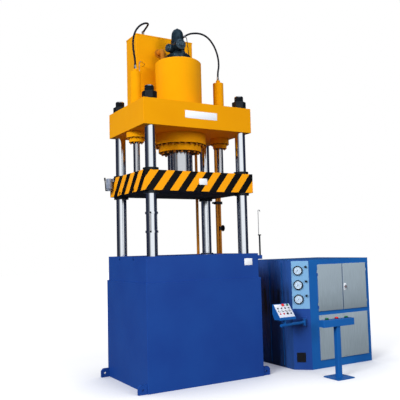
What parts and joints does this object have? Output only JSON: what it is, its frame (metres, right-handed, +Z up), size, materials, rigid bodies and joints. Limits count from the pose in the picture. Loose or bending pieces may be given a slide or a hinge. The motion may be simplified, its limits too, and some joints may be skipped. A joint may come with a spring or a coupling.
{
  "type": "hydraulic press",
  "caption": "Four-column hydraulic press with its power cabinet on a swing-arm console and a two-hand control pedestal; the slide, ejector, doors, arm, buttons and gauge parts move.",
  "frame": {"origin": "centre of the press's base on the floor", "axes": "+Z up, -Y towards the operator, +X towards the power cabinet"},
  "size_m": [4.19, 2.5249, 5.5481],
  "materials": {
    "press_yellow": "glossy yellow machine enamel",
    "press_blue": "semi-gloss blue machine enamel",
    "cabinet_blue": "semi-gloss blue sheet-metal enamel",
    "panel_blue": "satin light blue panel",
    "ground_chrome": "ground and hard-chromed shaft",
    "black_steel": "blackened steel",
    "valve_casting": "dark blue-black painted casting",
    "bright_fitting": "bright zinc-plated fitting",
    "door_steel": "brushed grey steel sheet",
    "grease_grey": "grey-blue painted casting",
    "hose_rubber": "black rubber hose cover",
    "button_red": "glossy red button",
    "button_green": "glossy green button",
    "button_white": "glossy white button",
    "lamp_lens": "translucent lamp lens",
    "motor_grey": "grey painted motor casting"
  },
  "bodies": {
    "root": {"base_stand": "press_blue", "bed": "press_blue", "columns": "ground_chrome", "column_nuts": "black_steel", "crown": "press_yellow", "main_cylinder": "press_yellow", "main_gland": "press_yellow", "side_cylinders": "press_yellow", "side_glands": "press_yellow", "cap_screws": "black_steel", "prefill_valve": "valve_casting", "filling_tank": "press_yellow", "suction_elbow": "press_yellow", "hose_left": "hose_rubber", "hose_right": "hose_rubber", "hose_fittings": "bright_fitting", "small_lines": "bright_fitting", "oil_pipes": "press_yellow", "pipe_fittings": "black_steel", "ejector_cylinder": "press_blue", "column_scale": "black_steel", "trip_rod": "black_steel", "cabinet_shell": "cabinet_blue", "lower_panel": "door_steel", "gauge_panel": "panel_blue", "gauge_cases": "bright_fitting", "oil_tank": "press_blue", "pump_motor": "motor_grey", "pedestal_stand": "cabinet_blue", "pedestal_box": "cabinet_blue"},
    "slide": {"slide": "press_yellow", "guide_bushes": "black_steel", "ram": "ground_chrome", "side_rods": "ground_chrome", "grease_pump": "grease_grey"},
    "pump_lever": {"pump_lever": "black_steel"},
    "ejector": {"ejector_rod": "ground_chrome"},
    "handwheel": {"handwheel": "black_steel"},
    "door_left": {"door_left": "door_steel"},
    "door_right": {"door_right": "door_steel"},
    "door_lock": {"door_lock": "black_steel"},
    "console": {"console_arm": "cabinet_blue", "console_box": "cabinet_blue", "pilot_lamps": "lamp_lens"},
    "stop_button": {"stop_button": "button_red"},
    "start_button": {"start_button": "button_green"},
    "selector_switch": {"selector_switch": "black_steel"},
    "palm_left": {"palm_left": "button_green"},
    "palm_stop": {"palm_stop": "button_red"},
    "palm_right": {"palm_right": "button_green"},
    "console_button_1": {"console_button_1": "button_white"},
    "console_button_2": {"console_button_2": "button_white"},
    "console_button_3": {"console_button_3": "button_white"},
    "console_button_4": {"console_button_4": "button_white"},
    "gauge_needle_1": {"gauge_needle_1": "black_steel"},
    "gauge_knob_1": {"gauge_knob_1": "black_steel"},
    "gauge_needle_2": {"gauge_needle_2": "black_steel"},
    "gauge_knob_2": {"gauge_knob_2": "black_steel"},
    "gauge_needle_3": {"gauge_needle_3": "black_steel"},
    "gauge_knob_3": {"gauge_knob_3": "black_steel"}
  },
  "joints": [
    {"name": "slide_stroke", "type": "slide", "parent": "root", "child": "slide", "axis": [0, 0, 1], "range_m": [-0.235, 0.27]},
    {"name": "pump_lever_swing", "type": "hinge", "parent": "slide", "child": "pump_lever", "pos_m": [-1.004, 0.58, 2.8768], "axis": [-1, 0, 0], "range_deg": [-10, 60]},
    {"name": "ejector_stroke", "type": "slide", "parent": "root", "child": "ejector", "axis": [0, 0, 1], "range_m": [0, 0.25]},
    {"name": "handwheel_turn", "type": "hinge", "parent": "root", "child": "handwheel", "pos_m": [1.24, 0.75, 2.28], "axis": [1, 0, 0], "range_deg": [0, 360]},
    {"name": "door_left_hinge", "type": "hinge", "parent": "root", "child": "door_left", "pos_m": [1.972, -0.855, 1.26], "axis": [0, 0, 1], "range_deg": [-110, 0]},
    {"name": "door_right_hinge", "type": "hinge", "parent": "root", "child": "door_right", "pos_m": [3.032, -0.855, 1.26], "axis": [0, 0, 1], "range_deg": [0, 110]},
    {"name": "door_lock_turn", "type": "hinge", "parent": "door_right", "child": "door_lock", "pos_m": [2.547, -0.863, 1.2526], "axis": [0, 1, 0], "range_deg": [0, 90]},
    {"name": "console_swing", "type": "hinge", "parent": "root", "child": "console", "pos_m": [1.68517, -0.82915, 0.745], "axis": [0, 0, 1], "range_deg": [-15, 45]},
    {"name": "stop_button_push", "type": "slide", "parent": "console", "child": "stop_button", "axis": [0, 0.7771, -0.6293], "range_m": [0, 0.006], "stiffness_N_per_m": 800},
    {"name": "start_button_push", "type": "slide", "parent": "console", "child": "start_button", "axis": [0, 0.7771, -0.6293], "range_m": [0, 0.006], "stiffness_N_per_m": 600},
    {"name": "selector_turn", "type": "hinge", "parent": "console", "child": "selector_switch", "pos_m": [1.279, -0.93993, 0.92007], "axis": [0, -0.7771, 0.6293], "range_deg": [-45, 45]},
    {"name": "console_button_1_push", "type": "slide", "parent": "console", "child": "console_button_1", "axis": [0, 0.7771, -0.6293], "range_m": [0, 0.006], "stiffness_N_per_m": 600},
    {"name": "console_button_2_push", "type": "slide", "parent": "console", "child": "console_button_2", "axis": [0, 0.7771, -0.6293], "range_m": [0, 0.006], "stiffness_N_per_m": 600},
    {"name": "console_button_3_push", "type": "slide", "parent": "console", "child": "console_button_3", "axis": [0, 0.7771, -0.6293], "range_m": [0, 0.006], "stiffness_N_per_m": 600},
    {"name": "console_button_4_push", "type": "slide", "parent": "console", "child": "console_button_4", "axis": [0, 0.7771, -0.6293], "range_m": [0, 0.006], "stiffness_N_per_m": 600},
    {"name": "palm_left_push", "type": "slide", "parent": "root", "child": "palm_left", "axis": [0, 0, -1], "range_m": [0, 0.008], "stiffness_N_per_m": 800},
    {"name": "palm_stop_push", "type": "slide", "parent": "root", "child": "palm_stop", "axis": [0, 0, -1], "range_m": [0, 0.008], "stiffness_N_per_m": 800},
    {"name": "palm_right_push", "type": "slide", "parent": "root", "child": "palm_right", "axis": [0, 0, -1], "range_m": [0, 0.008], "stiffness_N_per_m": 800},
    {"name": "gauge_needle_1_turn", "type": "hinge", "parent": "root", "child": "gauge_needle_1", "pos_m": [1.65929, -0.75045, 1.544], "axis": [-0.6709, -0.7415, 0], "range_deg": [-270, 0]},
    {"name": "gauge_knob_1_turn", "type": "hinge", "parent": "root", "child": "gauge_knob_1", "pos_m": [1.75862, -0.82548, 1.601], "axis": [-0.6709, -0.7415, 0], "range_deg": [-360, 0]},
    {"name": "gauge_needle_2_turn", "type": "hinge", "parent": "root", "child": "gauge_needle_2", "pos_m": [1.65929, -0.75045, 1.318], "axis": [-0.6709, -0.7415, 0], "range_deg": [-270, 0]},
    {"name": "gauge_knob_2_turn", "type": "hinge", "parent": "root", "child": "gauge_knob_2", "pos_m": [1.75862, -0.82548, 1.375], "axis": [-0.6709, -0.7415, 0], "range_deg": [-360, 0]},
    {"name": "gauge_needle_3_turn", "type": "hinge", "parent": "root", "child": "gauge_needle_3", "pos_m": [1.65929, -0.75045, 1.094], "axis": [-0.6709, -0.7415, 0], "range_deg": [-270, 0]},
    {"name": "gauge_knob_3_turn", "type": "hinge", "parent": "root", "child": "gauge_knob_3", "pos_m": [1.75862, -0.82548, 1.151], "axis": [-0.6709, -0.7415, 0], "range_deg": [-360, 0]}
  ]
}
